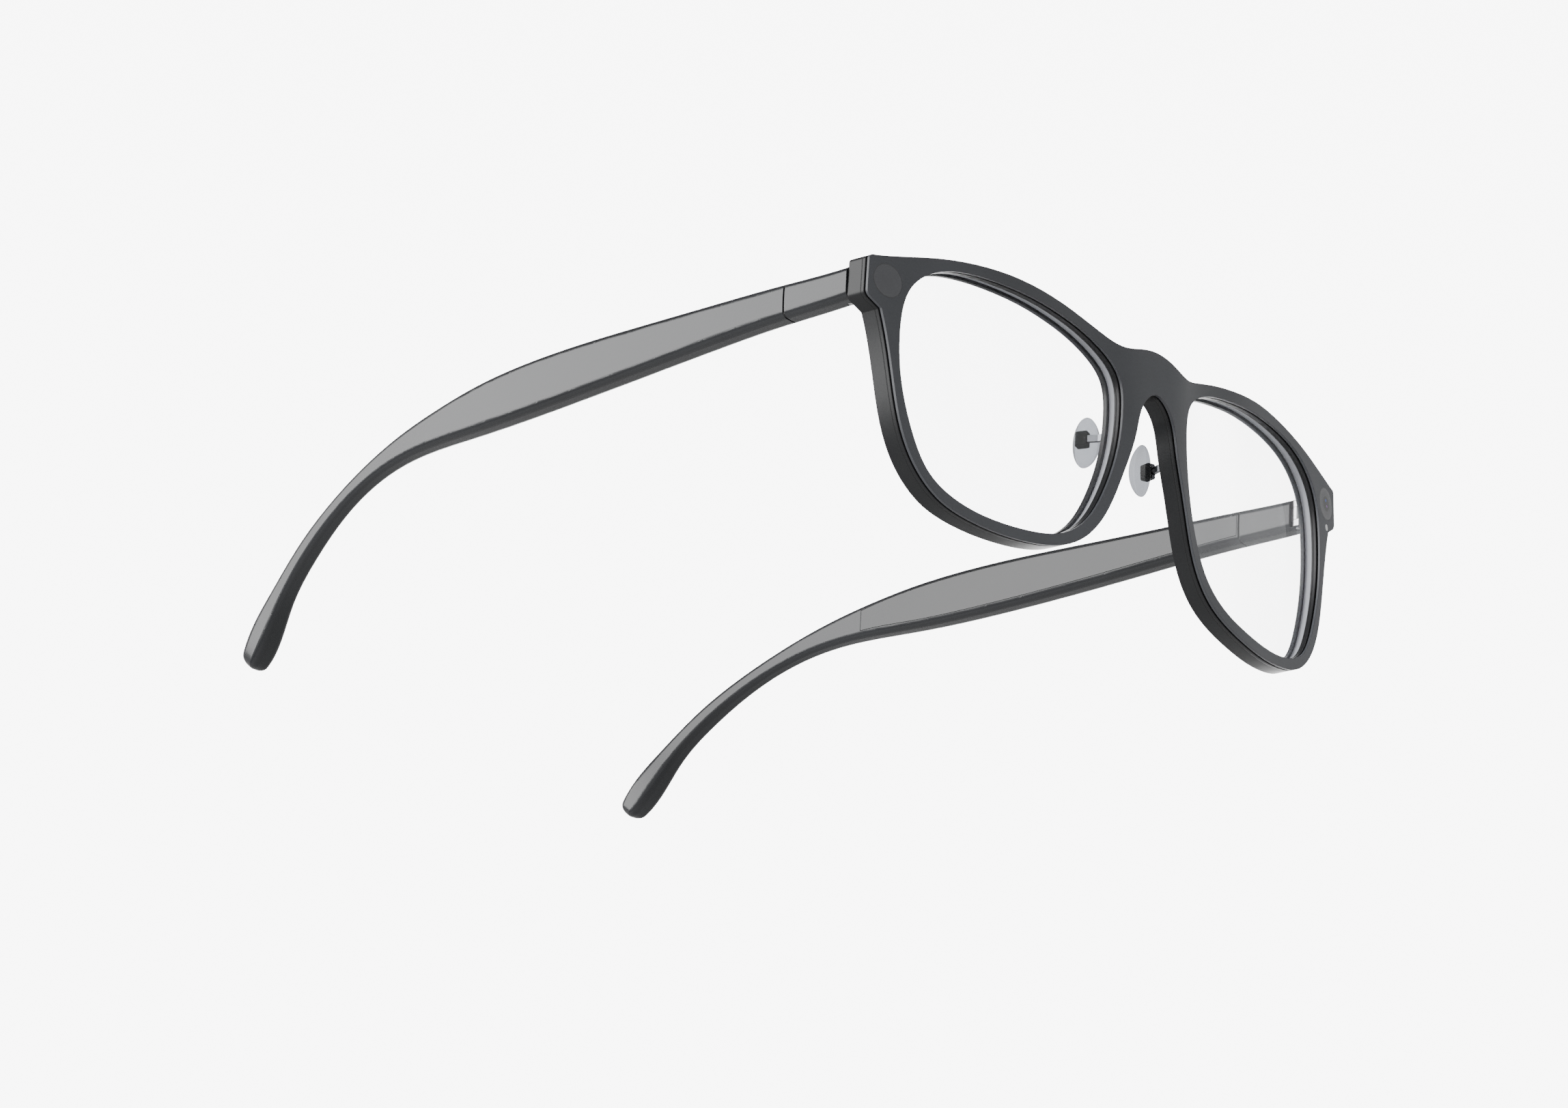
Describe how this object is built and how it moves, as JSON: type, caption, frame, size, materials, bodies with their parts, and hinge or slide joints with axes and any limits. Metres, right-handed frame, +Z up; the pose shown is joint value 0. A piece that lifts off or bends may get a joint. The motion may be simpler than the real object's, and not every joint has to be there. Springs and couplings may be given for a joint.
{
  "type": "smart glasses",
  "caption": "Slim smart glasses: a curved front with clear lenses, a camera and a sensor window in its endpieces, rocking nose pads, and hollow temples that fold in on hinge pins.",
  "frame": {"origin": "on the mirror plane, at the face of the bridge and the height of the lens centres, where the nose enters", "axes": "+Z up, the front faces -Y, the temples run along +Y, and +X is towards the wearer's left"},
  "size_m": [0.1352, 0.1624, 0.0466],
  "materials": {
    "plate_satin": "satin, very fine grain",
    "frame_satin": "satin",
    "temple_satin": "satin with a soft sheen",
    "temple_inner": "satin",
    "black_gasket": "matt black",
    "lens_glass": "clear, coated",
    "window_glass": "smoked, smooth",
    "camera_glass": "dark coated glass",
    "light_pipe": "white diffuser",
    "nose_pad": "frosted smoke silicone",
    "pad_box": "smoked, glossy",
    "arm_metal": "satin",
    "hinge_metal": "fine brushed",
    "component_black": "matt",
    "battery_foil": "laminated foil",
    "board": "solder mask",
    "contact_gold": "gold plated"
  },
  "bodies": {
    "front": {"front_plate": "plate_satin", "plate_gasket": "black_gasket", "front_band": "frame_satin", "rear_frame": "frame_satin", "camera_window": "window_glass", "camera_barrel": "component_black", "camera_lens": "camera_glass", "camera_board": "board", "light_pipe": "light_pipe", "sensor_window": "window_glass", "light_sensor": "component_black", "lens_left": "lens_glass", "lens_right": "lens_glass", "hinge_front_leaf_left": "hinge_metal", "hinge_front_leaf_right": "hinge_metal", "nose_pad_box_left": "pad_box", "nose_pad_box_right": "pad_box", "nose_pad_screw_left": "hinge_metal", "nose_pad_screw_right": "hinge_metal", "nose_pad_arm_left": "arm_metal", "nose_pad_arm_right": "arm_metal"},
    "temple_left": {"hinge_temple_leaf_left": "hinge_metal", "hinge_pin_left": "hinge_metal", "temple_housing_left": "temple_satin", "seam_gasket_left": "black_gasket", "temple_shell_left": "temple_satin", "temple_cover_left": "temple_inner", "battery_left": "battery_foil", "circuit_board_left": "board", "speaker_left": "component_black", "microphone_left": "component_black"},
    "temple_right": {"hinge_temple_leaf_right": "hinge_metal", "hinge_pin_right": "hinge_metal", "temple_housing_right": "temple_satin", "seam_gasket_right": "black_gasket", "temple_shell_right": "temple_satin", "temple_cover_right": "temple_inner", "battery_right": "battery_foil", "circuit_board_right": "board", "speaker_right": "component_black", "microphone_right": "component_black", "charging_pad": "component_black", "charging_contacts": "contact_gold", "touch_strip": "board"},
    "pad_left": {"nose_pad_left": "nose_pad"},
    "pad_right": {"nose_pad_right": "nose_pad"}
  },
  "joints": [
    {"name": "temple_left_fold", "type": "hinge", "parent": "front", "child": "temple_left", "pos_m": [0.0646, 0.0159, 0.011], "axis": [0, 0, 1], "range_deg": [0, 86]},
    {"name": "temple_right_fold", "type": "hinge", "parent": "front", "child": "temple_right", "pos_m": [-0.0646, 0.0159, 0.011], "axis": [0, 0, -1], "range_deg": [0, 73]},
    {"name": "pad_left_rock", "type": "hinge", "parent": "front", "child": "pad_left", "pos_m": [0.00906, 0.00916, 0.00047], "axis": [0.2419, 0.9703, 0], "range_deg": [-7, 7]},
    {"name": "pad_right_rock", "type": "hinge", "parent": "front", "child": "pad_right", "pos_m": [-0.00906, 0.00916, 0.00047], "axis": [0.2419, -0.9703, 0], "range_deg": [-7, 7]}
  ]
}
